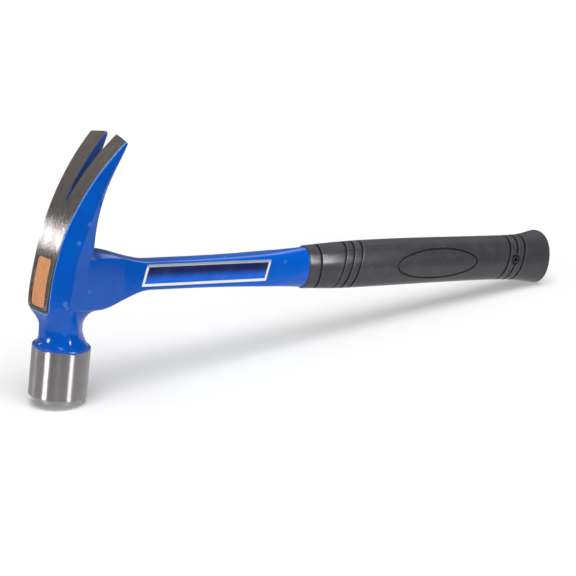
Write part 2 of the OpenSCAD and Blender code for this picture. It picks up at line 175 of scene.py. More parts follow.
# long fine lines left by a belt or a lathe tool
def makeBrushLines():
    group, given, result = newGroup(
        "brushLines",
        [("Place", "Vector", None), ("Stretch", "Vector", (1, 1, 1)), ("Seed", "Float", 0.0)],
        [("Fine", "Float"), ("Broad", "Float")],
    )
    drawn = vectorCalc(group, "MULTIPLY", given.outputs["Place"], given.outputs["Stretch"])
    offset = addNode(group, "ShaderNodeCombineXYZ")
    for socket in offset.inputs:
        group.links.new(given.outputs["Seed"], socket)
    drawn = vectorCalc(group, "ADD", drawn, offset.outputs[0])
    group.links.new(noise(group, drawn, 6.0, 5.0, 0.68), result.inputs["Fine"])
    group.links.new(noise(group, drawn, 0.9, 4.0, 0.6), result.inputs["Broad"])
    return group


# pale dust that settles more on what faces up
def makeDust():
    group, given, result = newGroup(
        "dust",
        [("Place", "Vector", None), ("Amount", "Float", 0.3), ("Speck", "Float", 1.6)],
        [("Mask", "Float")],
    )
    surface = addNode(group, "ShaderNodeNewGeometry")
    up = ramp(group, split(group, surface.outputs["Normal"])[2], -0.6, 1.0, 0.35, 1.0)
    film = ramp(group, noise(group, given.outputs["Place"], 0.09, 4.0, 0.6), 0.4, 0.72)
    specks = ramp(group, noise(group, given.outputs["Place"], given.outputs["Speck"], 2.0, 0.5), 0.62, 0.74)
    dusty = calc(group, "ADD", times(group, film, 0.6), times(group, specks, 0.4))
    settled = calc(group, "MULTIPLY", times(group, dusty, up), given.outputs["Amount"], clamp=True)
    group.links.new(settled, result.inputs["Mask"])
    return group


# hairline scratches in a few directions
def makeScratches():
    group, given, result = newGroup(
        "scratches",
        [("Place", "Vector", None), ("Scale", "Float", 0.25), ("Width", "Float", 0.01)],
        [("Mask", "Float")],
    )
    total = None
    for turn, shift in (((0.5, 0.9, 0.3), 3.1), ((1.9, 0.4, 2.2), 17.7), ((2.7, 1.6, 0.9), 41.3)):
        mapping = addNode(group, "ShaderNodeMapping")
        mapping.inputs["Rotation"].default_value = turn
        mapping.inputs["Location"].default_value = (shift, shift, shift)
        mapping.inputs["Scale"].default_value = (1, 1, 0.09)
        group.links.new(given.outputs["Place"], mapping.inputs["Vector"])
        cells = addNode(group, "ShaderNodeTexVoronoi", feature="DISTANCE_TO_EDGE")
        group.links.new(mapping.outputs[0], cells.inputs["Vector"])
        group.links.new(given.outputs["Scale"], cells.inputs["Scale"])
        line = ramp(group, cells.outputs["Distance"], 0.0, given.outputs["Width"], 1.0, 0.0)
        broken = ramp(group, noise(group, mapping.outputs[0], 0.4, 2.0), 0.52, 0.64)
        line = times(group, line, broken)
        total = line if total is None else calc(group, "MAXIMUM", total, line)
    group.links.new(total, result.inputs["Mask"])
    return group


edgeWear = makeEdgeWear()
brushLines = makeBrushLines()
dust = makeDust()
scratches = makeScratches()


def newMaterial(name):
    material = bpy.data.materials.new(name)
    material.use_nodes = True
    tree = material.node_tree
    return material, tree, tree.nodes["Principled BSDF"]


# enamelled steel: blue enamel, with the ground crown, the claw tips and the turned bell left bare
enamel = {
    "blue": (0.0, 0.083, 0.435),
    "deepBlue": (0.0, 0.067, 0.375),
    "highlightBlue": (0.13, 0.31, 0.72),
    "shankLitBlue": (0.0, 0.106, 0.56),
    "shankLightRun": (40.0, 120.0),  # along the handle, from the head's blue to the shank's
    "slotShade": (0.02, 0.035, 0.09),
    "dusty": (0.5, 0.55, 0.62),
    "steel": (0.6, 0.577, 0.585),
    "steelDark": (0.34, 0.319, 0.318),
    "steelBrown": (0.34, 0.275, 0.225),
    "scratched": (0.82, 0.8, 0.8),
    "tip": (0.73, 0.665, 0.615),
    "tipRun": (60.0, 104.0),  # along the crown, brighter towards the claw tips
    "plugShadeSteel": (0.2, 0.183, 0.172),
    "plugShadeRun": (36.0, 29.0),  # painted dark reflection beside the plug
    "burr": (0.08, 0.075, 0.07),
    "plugRun": (42.0, 26.0),  # the bare band widens beside the plug
    "plugBand": 0.8,
    "crownCentre": (125.6, 0, -12),
    "crownRadius": 145.0,
    "groundEdge": (-0.25, -0.13),  # the three edges count from the crown's radius
    "highlightEdge": (-0.9, -0.55),
    "burrEdge": (-0.08, -0.3),
    "headBottom": (-26.0, -24.0),
    "headBack": (60.0, 58.0),
    "slotSide": (6.6, 5.8),
    "slotRise": (12.0, 18.0),
    "clawLength": 110.0,
    "clawSpread": 38.0,
    "clawBow": 3.0,
    "bellTop": (-34.0, -36.0),
    "paintLine": -38.3,
    "paintSwing": 3.2,
    "paintDrip": 0.9,
    # name, smear of the highlights, roughness of the bare steel
    "finishes": [("enamelledSteel", 0.0, 0.22), ("turnedSteel", 1.0, 0.32), ("groundSteel", 0.9, 0.17)],
}


def crownLevels(edge):
    return [enamel["crownRadius"] + level for level in enamel[edge]]


# the same surface for each finish, because the turned and the ground steel smear their highlights one way
def makeForgedSurface(name, smear, steelRough):
    material, tree, shader = newMaterial(name)
    if smear:
        shader.inputs["Anisotropic"].default_value = smear
        grainWay = addNode(tree, "ShaderNodeTangent", direction_type="UV_MAP", uv_map="grainWay")
        tree.links.new(grainWay.outputs[0], shader.inputs["Tangent"])
    place = hammerPlace(tree)
    u, v, w = split(tree, place)
    wander = noise(tree, place, 0.35, 3.0)
    ripple = noise(tree, place, 1.7, 3.0)

    # distance from the middle of the crown's curve, and length run along that curve
    fromCentre = vectorCalc(tree, "SUBTRACT", place, enamel["crownCentre"])
    fromCentre = vectorCalc(tree, "MULTIPLY", fromCentre, (1, 0, 1))
    radius = vectorCalc(tree, "LENGTH", fromCentre)
    across, _, rise = split(tree, fromCentre)
    swept = calc(tree, "ARCTAN2", rise, times(tree, across, -1.0))
    run = times(tree, swept, enamel["crownRadius"])
    side = calc(tree, "DIVIDE", v, enamel["clawSpread"] / 2)
    bow = times(tree, times(tree, side, side), enamel["clawBow"])
    tipRun = calc(tree, "SUBTRACT", enamel["clawLength"] + enamel["clawBow"], bow)
    nearHead = times(tree, ramp(tree, w, *enamel["headBottom"]), ramp(tree, u, *enamel["headBack"]))
    byPlug = ramp(tree, run, *enamel["plugRun"])
    ragged = calc(tree, "ADD", radius, times(tree, calc(tree, "SUBTRACT", wander, 0.5), 0.35))
    ragged = calc(tree, "MULTIPLY_ADD", byPlug, enamel["plugBand"], ragged)
    ground = times(tree, ramp(tree, ragged, *crownLevels("groundEdge")), nearHead)
    tips = times(tree, ramp(tree, calc(tree, "SUBTRACT", run, tipRun), -0.4, -0.2), nearHead)

    # the dipped paint ends on the bell in a wandering line
    swing = noise(tree, vectorCalc(tree, "MULTIPLY", place, (1, 1, 0)), 0.075, 2.0)
    swing = times(tree, calc(tree, "SUBTRACT", swing, 0.5), enamel["paintSwing"])
    drips = noise(tree, vectorCalc(tree, "MULTIPLY", place, (1, 1, 0.2)), 0.4, 2.0)
    drips = times(tree, calc(tree, "SUBTRACT", drips, 0.5), enamel["paintDrip"])
    line = calc(tree, "ADD", calc(tree, "ADD", swing, drips), enamel["paintLine"])
    belowLine = calc(tree, "SUBTRACT", line, w)
    bell = ramp(tree, belowLine, -0.05, 0.12)

    wear = useGroup(tree, edgeWear, Place=place, Reach=0.0005, Grain=0.7, Amount=0.28).outputs["Mask"]
    bare = calc(tree, "MAXIMUM", calc(tree, "MAXIMUM", ground, tips), bell)
    metal = calc(tree, "MAXIMUM", bare, wear, clamp=True)

    # steel: lines along the crown, rings round the bell
    along = addNode(tree, "ShaderNodeCombineXYZ")
    for value, socket in zip((run, v, radius), along.inputs):
        feed(tree, value, socket)
    crownLines = useGroup(tree, brushLines, Place=along.outputs[0], Stretch=(0.02, 1.0, 0.3), Seed=2.0)
    bellLines = useGroup(tree, brushLines, Place=place, Stretch=(0.03, 0.03, 1.0), Seed=9.0)
    onBell = ramp(tree, w, *enamel["bellTop"])
    fine = blendValue(tree, onBell, crownLines.outputs["Fine"], bellLines.outputs["Fine"])
    broad = blendValue(tree, onBell, crownLines.outputs["Broad"], bellLines.outputs["Broad"])
    scratch = useGroup(tree, scratches, Place=place, Scale=0.22, Width=0.012).outputs["Mask"]
    stain = ramp(tree, noise(tree, place, 0.12, 4.0, 0.65), 0.42, 0.7)
    banding = blendValue(tree, onBell, times(tree, ramp(tree, broad, 0.3, 0.7), 0.5), 0.25)
    streaks = times(tree, calc(tree, "SUBTRACT", fine, 0.5), blendValue(tree, onBell, 1.3, 0.5))
    tone = calc(tree, "ADD", banding, streaks, clamp=True)
    steelColor = blendColor(tree, tone, enamel["steel"], enamel["steelDark"])
    brown = times(tree, stain, blendValue(tree, onBell, 0.45, 0.15))
    steelColor = blendColor(tree, brown, steelColor, enamel["steelBrown"])
    # painted highlight with a warm painted reflection, brighter towards the claw tips
    tipHighlight = times(tree, ramp(tree, run, *enamel["tipRun"]), ramp(tree, stain, 0.0, 0.6, 0.45, 0.9))
    steelColor = blendColor(tree, times(tree, tipHighlight, nearHead), steelColor, enamel["tip"])
    # painted dark reflection on the bare steel beside the plug
    plugShade = times(tree, ramp(tree, run, *enamel["plugShadeRun"], 0.0, 0.65), times(tree, ground, nearHead))
    steelColor = blendColor(tree, plugShade, steelColor, enamel["plugShadeSteel"])
    burr = times(tree, ramp(tree, radius, *crownLevels("burrEdge")), byPlug)
    burr = times(tree, burr, nearHead)
    steelColor = blendColor(tree, times(tree, burr, 0.9), steelColor, enamel["burr"])
    steelColor = blendColor(tree, times(tree, scratch, 0.4), steelColor, enamel["scratched"])

    # enamel: a little uneven in depth, with painted light brightening it towards the shank, a painted
    # highlight along the ground edge and painted glints in a few small dents
    depth = ramp(tree, noise(tree, place, 0.05, 3.0), 0.3, 0.7)
    paintColor = blendColor(tree, depth, enamel["blue"], enamel["deepBlue"])
    # painted light: the enamel brightens along the handle from the head towards the shank
    shankLight = ramp(tree, u, *enamel["shankLightRun"], 0.0, 0.7)
    paintColor = blendColor(tree, shankLight, paintColor, enamel["shankLitBlue"])
    edgeHighlight = times(tree, ramp(tree, ragged, *crownLevels("highlightEdge")), nearHead)
    edgeHighlight = times(tree, edgeHighlight, ramp(tree, ripple, 0.36, 0.56, 0.25, 1.0))
    cells = addNode(tree, "ShaderNodeTexVoronoi")
    tree.links.new(place, cells.inputs["Vector"])
    cells.inputs["Scale"].default_value = 0.1
    chosen = calc(tree, "GREATER_THAN", cells.outputs["Color"], 0.42)
    dents = times(tree, ramp(tree, cells.outputs["Distance"], 0.2, 0.08), chosen)
    # pale: painted highlight along the ground edge and painted glints in the dents
    pale = calc(tree, "MAXIMUM", times(tree, edgeHighlight, 0.8), times(tree, dents, 0.28))
    paintColor = blendColor(tree, pale, paintColor, enamel["highlightBlue"])
    settled = useGroup(tree, dust, Place=place, Amount=0.007, Speck=0.9).outputs["Mask"]
    paintColor = blendColor(tree, settled, paintColor, enamel["dusty"])

    # painted shade in the nail slot
    inSlot = ramp(tree, calc(tree, "ABSOLUTE", v), *enamel["slotSide"])
    inSlot = times(tree, inSlot, times(tree, ramp(tree, w, *enamel["slotRise"]), nearHead))
    slotShade = times(tree, inSlot, ramp(tree, wander, 0.3, 0.7, 0.35, 0.75))
    paintColor = blendColor(tree, slotShade, paintColor, enamel["slotShade"])

    feed(tree, blendColor(tree, metal, paintColor, steelColor), shader.inputs["Base Color"])
    feed(tree, metal, shader.inputs["Metallic"])
    steelRough = calc(tree, "ADD", steelRough, times(tree, broad, blendValue(tree, onBell, 0.12, 0.03)))
    paintRough = calc(tree, "ADD", 0.05, times(tree, ramp(tree, wander, 0.35, 0.75), 0.06))
    paintRough = calc(tree, "MULTIPLY_ADD", inSlot, 0.45, paintRough)
    rough = blendValue(tree, metal, paintRough, steelRough)
    feed(tree, calc(tree, "ADD", rough, times(tree, scratch, 0.12)), shader.inputs["Roughness"])

    # relief: orange peel, the edge of the paint film with its bead, dents and the steel's fine lines
    peel = calc(tree, "ADD", times(tree, wander, 0.7), times(tree, ripple, 0.3))
    film = times(tree, calc(tree, "SUBTRACT", 1.0, metal), 0.9)
    bead = ramp(tree, calc(tree, "ABSOLUTE", calc(tree, "ADD", belowLine, 0.9)), 0.0, 1.0, 1.3, 0.0)
    paintHeight = calc(tree, "ADD", calc(tree, "ADD", times(tree, peel, 0.5), film), bead)
    paintHeight = calc(tree, "MULTIPLY_ADD", dents, -0.8, paintHeight)
    steelHeight = times(tree, fine, blendValue(tree, onBell, 0.1, 0.04))
    steelHeight = calc(tree, "SUBTRACT", steelHeight, times(tree, scratch, 0.03))
    height = blendValue(tree, metal, paintHeight, steelHeight)
    feed(tree, bump(tree, height, 0.00016), shader.inputs["Normal"])
    return material


# hickory: straight tan grain that runs up the head
hickory = {
    "pale": (0.75, 0.335, 0.143),
    "tan": (0.43, 0.165, 0.065),
    "pore": (0.2, 0.07, 0.028),
    "mottle": (0.7, 0.4, 0.22),
    "rings": {"Scale": 0.16, "Distortion": 5.0, "Detail": 3.0, "Detail Scale": 0.8},
}


def makeHickory():
    material, tree, shader = newMaterial("hickory")
    place = hammerPlace(tree)
    rings = addNode(tree, "ShaderNodeTexWave", wave_type="BANDS", bands_direction="Y")
    tree.links.new(vectorCalc(tree, "MULTIPLY", place, (0.6, 1.0, 0.05)), rings.inputs["Vector"])
    for key, value in hickory["rings"].items():
        rings.inputs[key].default_value = value
    fibre = noise(tree, vectorCalc(tree, "MULTIPLY", place, (1.0, 1.0, 0.045)), 3.4, 5.0, 0.7)
    pores = noise(tree, vectorCalc(tree, "MULTIPLY", place, (1.0, 1.0, 0.13)), 2.4, 2.0)
    pores = ramp(tree, pores, 0.62, 0.7)
    streak = noise(tree, vectorCalc(tree, "MULTIPLY", place, (0.5, 1.0, 0.06)), 0.6, 3.0)
    streak = ramp(tree, streak, 0.42, 0.64)
    mottle = noise(tree, place, 0.13, 3.0)
    color = blendColor(tree, times(tree, rings.outputs["Fac"], 0.75), hickory["pale"], hickory["tan"])
    color = blendColor(tree, times(tree, ramp(tree, fibre, 0.38, 0.66), 0.7), color, hickory["tan"])
    color = blendColor(tree, times(tree, streak, 0.5), color, hickory["tan"])
    color = blendColor(tree, times(tree, pores, 0.5), color, hickory["pore"])
    color = blendColor(tree, times(tree, mottle, 0.12), color, hickory["mottle"])
    # darker along the plug's edges
    worn = useGroup(tree, edgeWear, Place=place, Reach=0.0006, Grain=1.2, Amount=0.9).outputs["Mask"]
    color = blendColor(tree, times(tree, worn, 0.6), color, hickory["pore"])
    feed(tree, color, shader.inputs["Base Color"])
    feed(tree, calc(tree, "ADD", 0.46, times(tree, fibre, 0.2)), shader.inputs["Roughness"])
    height = calc(tree, "SUBTRACT", times(tree, fibre, 0.5), times(tree, pores, 0.6))
    feed(tree, bump(tree, height, 0.00012, 0.8), shader.inputs["Normal"])
    return material


# moulded rubber: satin, matt on top, with a faint skin texture, some dust, painted shade in the hollows and
# a painted highlight on the lips behind the grooves
rubber = {
    "black": (0.043, 0.0412, 0.0475),
    "worn": (0.057, 0.055, 0.0625),
    "lipHighlight": (0.11, 0.108, 0.118),
    "edge": (0.17, 0.17, 0.18),
    "hollowShade": (0.004, 0.004, 0.005),
    "dusty": (0.3, 0.3, 0.32),
    "satin": 0.2,
    "mattTop": 0.4,
}


def makeRubber():
    material, tree, shader = newMaterial("mouldedRubber")
    place = hammerPlace(tree)
    mottle = noise(tree, vectorCalc(tree, "MULTIPLY", place, (0.35, 1, 1)), 0.16, 5.0, 0.62)
    skin = noise(tree, place, 2.6, 3.0, 0.55)
    grain = noise(tree, place, 7.0, 2.0)
    hollowShade = addNode(tree, "ShaderNodeAttribute", attribute_name="hollowShade").outputs["Fac"]
    handled = ramp(tree, mottle, 0.38, 0.72)
    color = blendColor(tree, times(tree, handled, 0.4), rubber["black"], rubber["worn"])
    color = blendColor(tree, times(tree, ramp(tree, grain, 0.55, 0.8), 0.35), color, rubber["worn"])
    settled = useGroup(tree, dust, Place=place, Amount=0.1, Speck=1.3).outputs["Mask"]
    color = blendColor(tree, settled, color, rubber["dusty"])
    scratch = useGroup(tree, scratches, Place=place, Scale=0.1, Width=0.008).outputs["Mask"]
    color = blendColor(tree, times(tree, scratch, 0.06), color, rubber["dusty"])
    worn = useGroup(tree, edgeWear, Place=place, Reach=0.0006, Grain=0.9, Amount=0.7).outputs["Mask"]
    color = blendColor(tree, times(tree, worn, 0.5), color, rubber["edge"])
    # painted highlight on the lip behind each groove
    color = blendColor(tree, ramp(tree, hollowShade, -0.1, -0.9, 0.0, 0.6), color, rubber["lipHighlight"])
    # painted shade in the grooves, the sunk lines and the pin's hole, deeper where they sink further
    sunk = ramp(tree, hollowShade, 0.08, 0.5)
    feed(tree, blendColor(tree, sunk, color, rubber["hollowShade"]), shader.inputs["Base Color"])
    rough = calc(tree, "ADD", rubber["satin"], times(tree, handled, 0.04))
    rough = calc(tree, "ADD", rough, times(tree, calc(tree, "ADD", settled, sunk), 0.4), clamp=True)
    facing = split(tree, addNode(tree, "ShaderNodeNewGeometry").outputs["Normal"])[2]
    rough = calc(tree, "ADD", rough, ramp(tree, facing, 0.45, 0.85, 0.0, rubber["mattTop"]), clamp=True)
    feed(tree, rough, shader.inputs["Roughness"])
    height = calc(tree, "ADD", times(tree, skin, 0.6), times(tree, grain, 0.25))
    feed(tree, bump(tree, height, 0.00006, 0.7), shader.inputs["Normal"])
    return material


# foil label: bright rim with painted shade under its top edge, plain field that runs from navy to blue
label = {
    "front": 49.0,
    "length": 95.0,
    "height": 13.6,
    "thick": 0.2,
    "slant": math.radians(12),
    "rise": 3.7988,
    "side": -7.3,
    "turn": math.radians(0.70753),
    "corner": 0.8,
    "easedEdge": 0.07,
    "rim": 1.7,
    "rimBlur": 0.12,
    "navy": (0.004, 0.009, 0.075),
    "blue": (0.0, 0.105, 0.62),
    "fade": (0.35, -0.55),  # where navy turns to blue, in half heights
    "foil": (0.96, 0.98, 1.0),
    "shadedFoil": (0.36, 0.39, 0.46),
    "foilShade": (0.6, 2.6),  # under the top edge
    "foilLine": (0.45, 0.46, 0.49),
    "dusty": (0.6, 0.62, 0.65),
}


def makeLabelFoil():
    material, tree, shader = newMaterial("labelFoil")
    place = hammerPlace(tree, (label["front"], label["side"], label["rise"]), label["turn"])
    along, _, up = split(tree, place)
    half = label["height"] / 2
    lean = times(tree, calc(tree, "ADD", up, half), math.tan(label["slant"]))
    straight = calc(tree, "SUBTRACT", along, lean)
    fromEnd = calc(tree, "MINIMUM", straight, calc(tree, "SUBTRACT", label["length"], straight))
    fromEdge = calc(tree, "SUBTRACT", half, calc(tree, "ABSOLUTE", up))
    inset = calc(tree, "MINIMUM", fromEnd, fromEdge)
    rim = ramp(tree, inset, label["rim"], label["rim"] - label["rimBlur"])
    fade = ramp(tree, up, *(half * level for level in label["fade"]))
    color = blendColor(tree, fade, label["navy"], label["blue"])
    lines = useGroup(tree, brushLines, Place=place, Stretch=(0.05, 1.0, 1.0), Seed=5.0)
    # painted shade on the foil rim under the top edge
    bright = ramp(tree, up, *(half - drop for drop in label["foilShade"]))
    foil = blendColor(tree, bright, label["shadedFoil"], label["foil"])
    foil = blendColor(tree, times(tree, lines.outputs["Fine"], 0.25), foil, label["foilLine"])
    color = blendColor(tree, rim, color, foil)
    settled = useGroup(tree, dust, Place=place, Amount=0.06, Speck=1.2).outputs["Mask"]
    feed(tree, blendColor(tree, settled, color, label["dusty"]), shader.inputs["Base Color"])
    feed(tree, times(tree, rim, 0.25), shader.inputs["Metallic"])
    feed(tree, calc(tree, "MULTIPLY_ADD", lines.outputs["Broad"], 0.1, 0.16), shader.inputs["Roughness"])
    ripple = noise(tree, place, 0.16, 2.0)
    height = calc(tree, "MULTIPLY_ADD", rim, 0.12, ripple)
    feed(tree, bump(tree, height, 0.0002, 0.5), shader.inputs["Normal"])
    return material


forgedSurfaces = [makeForgedSurface(*finish) for finish in enamel["finishes"]]
hickoryWood = makeHickory()
mouldedRubber = makeRubber()
labelFoil = makeLabelFoil()
print("materials made")


def placeMesh(form, name):
    mesh = bpy.data.meshes.new(name)
    form.to_mesh(mesh)
    form.free()
    thing = bpy.data.objects.new(name, mesh)
    scene.collection.objects.link(thing)
    return thing


def finishPiece(form, name, materials, node):
    piece = placeMesh(form, name)
    for material in materials:
        piece.data.materials.append(material)
    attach(piece, "root")
    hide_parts(node)
    print(name, len(piece.data.polygons), "faces")
    return piece


# how a solid's own surface is taken over: doubles merged, flat faces joined, edges eased, shading evened
solid = {"merge": 2e-6, "degenerate": 1e-6, "flatWithin": math.radians(0.4), "sharpFrom": math.radians(55)}


def mergedCopy(node):
    form = bmesh.new()
    form.from_mesh(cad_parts[node].data)
    bmesh.ops.remove_doubles(form, verts=form.verts, dist=solid["merge"])
    bmesh.ops.dissolve_degenerate(form, edges=form.edges, dist=solid["degenerate"])
    bmesh.ops.dissolve_limit(form, angle_limit=solid["flatWithin"], verts=form.verts, edges=form.edges)
    return form


def sharpRims(form):
    rims = [edge for edge in form.edges if edge.is_manifold and edge.is_convex]
    return [edge for edge in rims if edge.calc_face_angle() > solid["sharpFrom"]]


def easeEdges(form, width, clamp):
    bmesh.ops.bevel(form, geom=sharpRims(form), offset=width * mm, offset_type="OFFSET", affect="EDGES",
                    segments=2, profile=0.5, material=-1, clamp_overlap=clamp)


def evenShading(piece):
    shading = piece.modifiers.new("evenShading", "WEIGHTED_NORMAL")
    shading.keep_sharp = True


# forged head, shank and tang: the solid's own surface with its cut edges eased
forging = {
    "easedEdge": 0.25,
    "weld": 0.3,
    "smoothTo": math.radians(38),
    "bellTop": -36.2,
    "bellBack": 30.0,
    "crownBottom": -25.0,
    "crownBack": 58.0,
    "crownDepth": 0.3,
    "grainLength": 50.0,
}


# place in the list of finishes: 1 on the turned bell, 2 on the ground crown, 0 on the rest
def forgedFinish(spot):
    if spot.z < forging["bellTop"] and spot.x < forging["bellBack"]:
        return 1
    centre = Vector(enamel["crownCentre"])
    radius = Vector((spot.x - centre.x, spot.z - centre.z)).length
    onHead = spot.z > forging["crownBottom"] and spot.x < forging["crownBack"]
    return 2 if onHead and radius > enamel["crownRadius"] - forging["crownDepth"] else 0


def makeForging():
    form = mergedCopy("forged_head_and_handle")
    corners = dict.fromkeys(vert for edge in sharpRims(form) for vert in edge.verts)
    bmesh.ops.remove_doubles(form, verts=list(corners), dist=forging["weld"] * mm)
    bmesh.ops.dissolve_degenerate(form, edges=form.edges, dist=solid["degenerate"])
    easeEdges(form, forging["easedEdge"], clamp=False)
    for edge in form.edges:
        edge.smooth = not (edge.is_manifold and edge.calc_face_angle() > forging["smoothTo"])
    # the way of the steel's grain: round the bell, along the crown
    grainWay = form.loops.layers.uv.new("grainWay")
    for face in form.faces:
        face.smooth = True
        middle = fromStand @ face.calc_center_median() / mm
        face.material_index = forgedFinish(middle)
        turn = math.atan2(middle.y, middle.x)
        for loop in face.loops:
            spot = fromStand @ loop.vert.co / mm
            if face.material_index == 1:
                swing = (math.atan2(spot.y, spot.x) - turn + math.pi) % (2 * math.pi) - math.pi
                loop[grainWay].uv = (spot.z / forging["grainLength"], swing)
            else:
                loop[grainWay].uv = (spot.y / forging["grainLength"], spot.z / forging["grainLength"])
    piece = finishPiece(form, "forgedHammer", forgedSurfaces, "forged_head_and_handle")
    evenShading(piece)


# hickory plug in the eye
plugShape = {"easedEdge": 0.25}


def makePlug():
    form = mergedCopy("hickory_plug")
    easeEdges(form, plugShape["easedEdge"], clamp=True)
    for face in form.faces:
        face.smooth = True
    piece = finishPiece(form, "hickoryPlug", [hickoryWood], "hickory_plug")
    evenShading(piece)


# cushion grip: sections along its length, from inside the tang's pocket round to the butt
grip = {
    "start": 178.0,
    "length": 210.97,
    "sides": 144,
    "step": 1.0,
    "power": 2.2,
    "heights": [(0, 27.8), (42.2, 31.0), (164.58, 30.2), (189.9, 31.532), (211.0, 37.46)],
    "thicknesses": [(0, 17.0), (42.2, 18.86), (164.58, 23.2), (189.9, 24.46), (211.0, 30.2)],
    "arch": 0.7,
    "frontRim": 0.8,
    "frontSteps": 6,
    "buttRim": 2.2,
    "buttSteps": 9,
    "rimGap": 0.3,
    "smoothTo": math.radians(42),
    # the handle's axis: where it starts, how long it runs, its height there and its fall
    "axis": {"from": 57, "run": 332, "rise": 2.9, "fall": 4.1},
    "tang": (8.2, 17.2),
    "tangPower": 0.32,
    "pocketEnd": 198.0,
    "grooves": [9.3, 27.7, 34.5, 41.3, 173.7, 180.5, 187.3],
    "grooveWide": 2.2,
    "grooveDeep": 1.0,
    "grooveFloor": 0.3,  # the floor and the lip are counted in half widths
    "lipTop": 1.25,
    "lipEnd": 1.6,
    "grooveSteps": [0, 0.2, 0.38, 0.52, 0.66, 0.8, 0.92, 1.0, 1.25, 1.6],
    "grooveGap": 0.2,
    # bands that swell behind a groove: from, to, rise, power of the curve
    "swells": [(0.0, 9.3, 0.25, 1), (9.3, 27.7, 0.8, 2), (27.7, 34.5, 0.08, 1), (34.5, 41.3, 0.08, 1),
               (173.7, 180.5, 0.2, 1), (180.5, 187.3, 0.2, 1)],
    "lean": math.tan(math.radians(13)),
    "leanShares": [(9.3, 0.0), (27.7, 1.0), (187.3, 1.0), (208.8, 0.0)],
    "ovalMiddle": (287.0, 0.6),
    "ovalReach": (35.0, 9.8),
    "ovalLine": 0.85,
    "ovalMargin": 2.0,
    "pinAlong": 358.2,
    "pinRise": 1.0,
    "pinRing": 6.6,
    "pinRingInset": 0.375,
    "pinLine": 0.85,
    "pinMargin": 0.6,
    "pinHole": 2.8,
    "holeSides": 32,
    "holeBottom": -7.0,
    "holeMiddle": 1.0,
    "mouthDeep": 0.25,
    "mouthProud": 0.3,
    "mouthWide": 0.4,
    "cutterReach": 4.0,
    "lineSides": 12,
    "lineSteps": 160,
    "hollowFrom": 0.04,
    "hollowRun": 0.25,
}


def turnsOf(count):
    return [2 * math.pi * n / count for n in range(count)]


def share(value):
    return min(max(value, 0), 1)


def handleRise(along):
    axis = grip["axis"]
    return axis["rise"] - axis["fall"] * (along - axis["from"]) / axis["run"]


def smoothTable(table, at):
    last = len(table) - 1
    i = next((n for n in range(last) if at < table[n + 1][0]), last - 1)

    def slope(n):
        a, b = table[max(n - 1, 0)], table[min(n + 1, last)]
        return (b[1] - a[1]) / (b[0] - a[0])

    wide = table[i + 1][0] - table[i][0]
    k = share((at - table[i][0]) / wide)
    ease = k * k * (3 - 2 * k)
    return (table[i][1] + (table[i + 1][1] - table[i][1]) * ease
            + wide * k * (1 - k) * ((1 - k) * slope(i) - k * slope(i + 1)))


def straightTable(table, at):
    if at <= table[0][0]:
        return table[0][1]
    for (x0, y0), (x1, y1) in zip(table, table[1:]):
        if at <= x1:
            return y0 + (y1 - y0) * (at - x0) / (x1 - x0)
    return table[-1][1]


def gripLean(at):
    return grip["lean"] * straightTable(grip["leanShares"], at)


def gripArch(at):
    return grip["arch"] * math.sin(math.pi * at / grip["length"])


def bulged(value, power):
    return math.copysign(abs(value) ** power, value)


def gripPoint(at, angle, inset):
    along = grip["start"] + at
    power = 2 / grip["power"]
    up = (smoothTable(grip["heights"], at) / 2 - inset) * bulged(math.sin(angle), power)
    swell = sum(rise * (1 - ((high - at) / (high - low)) ** ease)
                for low, high, rise, ease in grip["swells"] if low < at < high)
    out = (smoothTable(grip["thicknesses"], at) / 2 + swell - inset) * bulged(math.cos(angle), power)
    return Vector((along + gripLean(at) * up, out, handleRise(along) + gripArch(at) + up))


def fromPin(spot):
    return math.hypot(spot.x - grip["pinAlong"], spot.z - handleRise(grip["pinAlong"]) - grip["pinRise"])


# 1 at the bottom of a groove, below 0 on the lip behind it, nothing inside the pin's ring
def grooveDepth(at, spot):
    depth = 0.0
    for groove in grip["grooves"]:
        off = abs(at - groove) / (grip["grooveWide"] / 2)
        if off < 1:
            wall = share((off - grip["grooveFloor"]) / (1 - grip["grooveFloor"]))
            depth = 1 - wall * wall * (3 - 2 * wall)
        elif off < grip["lipEnd"] and at > groove:
            depth = -1 + abs(off - grip["lipTop"]) / (grip["lipEnd"] - grip["lipTop"])
    if spot.y < 0:
        depth *= share((fromPin(spot) - grip["pinRing"] / 2) / grip["grooveWide"])
    return depth


def gripStations():
    half = grip["grooveWide"] / 2
    places = [n * grip["step"] for n in range(int(grip["length"] / grip["step"]))]
    for groove in grip["grooves"]:
        places = [at for at in places if abs(at - groove) > half * grip["lipEnd"] + grip["grooveGap"]]
        places += [groove + step * half for step in grip["grooveSteps"]]
        places += [groove - step * half for step in grip["grooveSteps"] if step]
    first = grip["frontRim"] + grip["rimGap"]
    last = grip["length"] - grip["buttRim"] - grip["rimGap"]
    return sorted(at for at in places if first < at < last)


def ringEdges(form, ring):
    return [form.edges.get((a, b)) for a, b in zip(ring, ring[1:] + ring[:1])]


# a ring's edge is drawn out row by row, and each row is put in its place
def drawOut(form, ring, rows, place, closed=False):
    place(ring, rows[0])
    current = list(ring)
    for row in rows[1:]:
        drawn = bmesh.ops.extrude_edge_only(form, edges=ringEdges(form, current))["geom"]
        fresh = {part for part in drawn if isinstance(part, bmesh.types.BMVert)}
        ends = [[edge.other_vert(vert) for edge in vert.link_edges] for vert in current]
        current = [next(end for end in choices if end in fresh) for choices in ends]
        place(current, row)
    if closed:
        bmesh.ops.bridge_loops(form, edges=ringEdges(form, ring) + ringEdges(form, current))
    else:
        for cap in (ring, current):
            bmesh.ops.poke(form, faces=[form.faces.new(cap)])


def startRing(form, sides):
    return bmesh.ops.create_circle(form, segments=sides, radius=mm)["verts"]


